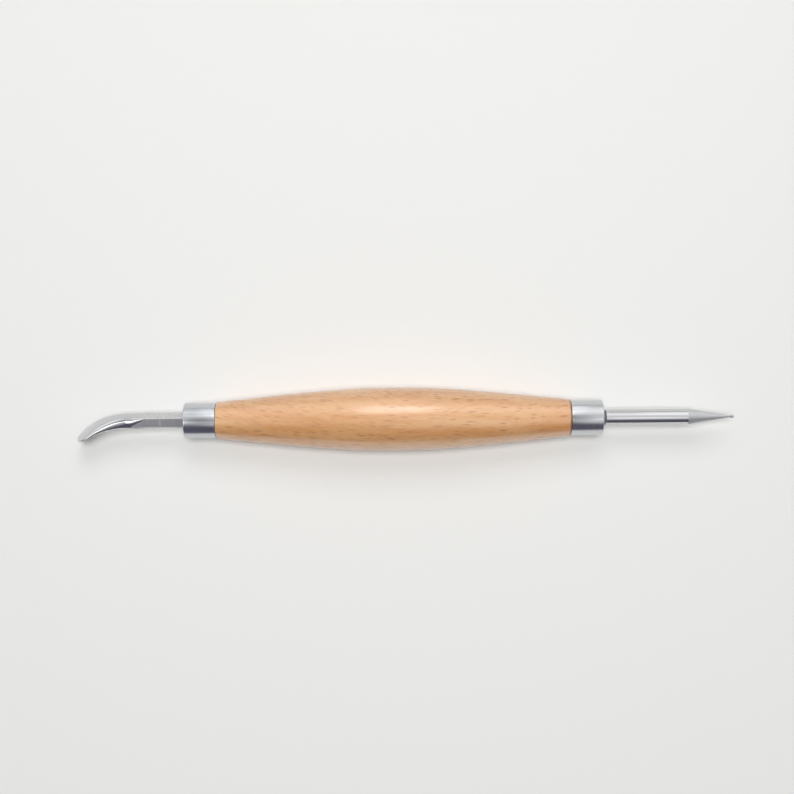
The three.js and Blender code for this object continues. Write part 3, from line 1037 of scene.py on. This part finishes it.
class MODELTOOL_OT_stage(bpy.types.Operator):
    """Lays the table, sets the lights and places the camera."""

    bl_idname = "modeling_tool.stage"
    bl_label = "Set Stage"

    def execute(self, context):
        look = context.scene.modeling_tool.stage
        add_camera(look)
        add_table(look)
        add_world(look)
        add_plain_lamp("overhead_lamp", look.overhead_power, look.overhead_size,
                       look.overhead_distance, look.overhead_lean)
        add_plain_lamp("far_window", look.window_power, look.window_size,
                       look.window_distance, look.window_lean)
        add_reflected_lamps()
        context.scene.view_settings.view_transform = "Standard"
        return {"FINISHED"}


PICTURE_SIDE = 794
FOCAL_PIXELS = 1375
SENSOR_WIDTH = 36  # millimetres
CLIP_START = 0.01
CLIP_END = 50


def add_camera(look):
    data = bpy.data.cameras.new("camera")
    data.sensor_width = SENSOR_WIDTH
    data.lens = FOCAL_PIXELS * SENSOR_WIDTH / PICTURE_SIDE
    data.clip_start = CLIP_START
    data.clip_end = CLIP_END
    camera = bpy.data.objects.new("camera", data)
    camera.location = (look.camera_x, look.camera_y, AXIS_HEIGHT + look.camera_height)
    camera.rotation_euler = (0, 0, look.camera_turn)
    bpy.context.scene.collection.objects.link(camera)
    bpy.context.scene.camera = camera


TABLE_RADIUS = 4
TABLE_SIDES = 96
TABLE_DROP = 0.01 * MM  # how far the table top lies under the belly


def add_table(look):
    """A wide round table top just under the belly, which fades into the backdrop far away."""
    shape = bmesh.new()
    bmesh.ops.create_circle(shape, cap_ends=True, segments=TABLE_SIDES, radius=TABLE_RADIUS)
    bmesh.ops.translate(shape, verts=shape.verts, vec=(0, 0, -TABLE_DROP))
    mesh = bpy.data.meshes.new("table")
    shape.to_mesh(mesh)
    shape.free()
    paint = Paint("table")
    x, y, _ = paint.split(paint.take("ShaderNodeTexCoord", "Object"))
    distance = (x * x + y * y) ** 0.5
    seen = paint.math("MAXIMUM", paint.ray("Camera"), paint.ray("Glossy"))
    haze = paint.take("ShaderNodeEmission", 0, None, {"Color": look.backdrop})
    plain = Wire(paint, paint.shader.outputs[0])
    share_of_haze = paint.ease(distance, look.haze_start, look.haze_end) * seen
    surface = paint.take("ShaderNodeMixShader", 0, None, {0: share_of_haze, 1: plain, 2: haze})
    paint.feed(paint.tree.nodes["Material Output"].inputs["Surface"], surface)
    plain_table = paint.finish(base_color=look.table, roughness=0.7, specular_ior_level=0.2)
    mesh.materials.append(plain_table)
    add_object("table", mesh)


def add_lamp(name, energy, sides, place, target):
    """A rectangular lamp that faces a target, and that the camera doesn't see."""
    data = bpy.data.lights.new(name, "AREA")
    data.shape = "RECTANGLE"
    data.size, data.size_y = sides
    data.energy = energy
    lamp = bpy.data.objects.new(name, data)
    lamp.location = place
    lamp.rotation_euler = (place - target).to_track_quat("Z", "Y").to_euler()
    lamp.visible_camera = False
    bpy.context.scene.collection.objects.link(lamp)
    return lamp


def add_plain_lamp(name, energy, size, distance, lean):
    """A lamp that leans to the far side. Metal and lacquer see the studio in its place."""
    place = Vector((0, math.sin(lean), math.cos(lean))) * distance
    lamp = add_lamp(name, energy, (size, size), place, Vector())
    lamp.visible_glossy = False


# Lamps that only metal and lacquer see: sides along and across the tool, place and target, all
# in millimetres, and brightness
REFLECTED_LAMPS = (
    ("pane_over_belly", (54, 80), (1, 98, 158), (1, 2, 14), 1.8),
    ("strip_over_spoon", (13, 40), (-83.5, -21, 68), (-74, 0, 8), 2.2),
)


def add_reflected_lamps():
    """Adds the lamps that glare in the lacquer and in the spoon, and light nothing else."""
    for name, sides, place, target, brightness in REFLECTED_LAMPS:
        along, across = (side * MM for side in sides)
        energy = brightness * math.pi * along * across
        lamp = add_lamp(name, energy, (along, across), Vector(place) * MM, Vector(target) * MM)
        lamp.visible_diffuse = False


# Patches of the studio that metal and lacquer see: degrees from straight up across the tool and
# then along it, each as rise, top, fall and end, and how much brighter than the backdrop it is
STUDIO_PATCHES = (
    ((12, 40, 44, 74), (4, 9, 90, 91), 0.36),  # soft window towards the stylus
    ((20, 40, 76, 86), (-5.8, -4.6, 4.6, 5.8), 0.55),  # sheen on the belly's far side
    ((16, 36, 76, 86), (12, 15, 36, 50), 0.15),  # sheen on the wood towards the stylus
    ((16, 36, 76, 86), (-50, -36, -15, -12), 0.36),  # sheen on the wood towards the spoon
    ((-26, -10, 8, 24), (-7, -5.8, 5.8, 7), -0.32),  # dark shape of the camera over the belly
    ((-24, -18, -10, -2), (8.9, 9.8, 16, 24), 0.4),  # glow along the rod
    ((-7, 3, 7, 17), (-18, -11, -6, -1), -0.32),  # dark line along the spoon's ferrule
    ((-26, -12, 20, 30), (-18, -11, -6, -1), -0.18),  # and the duller band round it
    ((72, 81, 89, 90), (-90, -89, 89, 90), -0.3),  # far edge of the room
)
# The dark wall on the near side, in the same degrees: it is dark below its foot and has faded at
# its top, and it stands this much higher at the spoon's ferrule than at the stylus's
WALL_FOOT = -52
WALL_TOP = -22
WALL_LEAN = 13
FERRULE_ALONG = 8


def add_world(look):
    """Plain light from all round. Metal and lacquer see a pale studio with a soft window on the
    far side and a dark wall on the near side, and the camera sees a pale backdrop."""
    world = bpy.data.worlds.new("studio")
    world.use_nodes = True
    bpy.context.scene.world = world
    board = Board(world.node_tree)
    x, y, z = board.split(board.take("ShaderNodeTexCoord", "Generated"))
    across = board.math("ARCTAN2", y, z) * math.degrees(1)
    along = board.math("ARCSINE", x) * math.degrees(1)
    brightness = look.backdrop[1]
    for across_hump, along_hump, extra in STUDIO_PATCHES:
        patch = board.hump(across, *across_hump) * board.hump(along, *along_hump)
        brightness = patch * extra + brightness
    lean = (1 - board.ease(along, -FERRULE_ALONG, FERRULE_ALONG)) * WALL_LEAN
    above_wall = board.ease(across - lean, WALL_FOOT, WALL_TOP)
    pale = board.join(brightness, brightness, brightness)
    studio = board.mix(above_wall, look.wall, pale)

    reflected = board.math("MAXIMUM", board.ray("Glossy"), board.ray("Transmission"))
    light = board.mix(board.ray("Camera"), (look.ambient,) * 3 + (1,), look.backdrop)
    light = board.mix(reflected, light, studio)
    board.feed(world.node_tree.nodes["Background"].inputs["Color"], light)


class MODELTOOL_PT_sidebar(bpy.types.Panel):
    """The tool's settings and the buttons that build it."""

    bl_idname = "MODELTOOL_PT_sidebar"
    bl_label = "Leather Modeling Tool"
    bl_space_type = "VIEW_3D"
    bl_region_type = "UI"
    bl_category = "Modeling Tool"

    def draw(self, context):
        settings = context.scene.modeling_tool
        for title, group, operator in SECTIONS:
            box = self.layout.box()
            box.label(text=title)
            look = getattr(settings, group)
            for name in look.__annotations__:
                box.prop(look, name)
            box.operator(operator.bl_idname)


# What the sidebar lists: a title, its group of settings and its operator
SECTIONS = (
    ("Stage", "stage", MODELTOOL_OT_stage),
    ("Handle", "handle", MODELTOOL_OT_handle),
    ("Ferrules", "ferrules", MODELTOOL_OT_ferrules),
    ("Spoon", "spoon", MODELTOOL_OT_spoon),
    ("Stylus", "stylus", MODELTOOL_OT_stylus),
    ("Adhesive", "stylus", MODELTOOL_OT_adhesive),
)
CLASSES = (
    HandleSettings,
    FerruleSettings,
    SpoonSettings,
    StylusSettings,
    StageSettings,
    ToolSettings,
    *(operator for _, _, operator in SECTIONS),
    MODELTOOL_PT_sidebar,
)


def register():
    for item in CLASSES:
        bpy.utils.register_class(item)
    bpy.types.Scene.modeling_tool = PointerProperty(type=ToolSettings)


def unregister():
    del bpy.types.Scene.modeling_tool
    for item in reversed(CLASSES):
        bpy.utils.unregister_class(item)


def main():
    register()
    bpy.ops.modeling_tool.stage()
    bpy.ops.modeling_tool.handle()
    bpy.ops.modeling_tool.ferrules()
    bpy.ops.modeling_tool.spoon()
    bpy.ops.modeling_tool.stylus()
    bpy.ops.modeling_tool.adhesive()


if __name__ == "__main__":
    main()
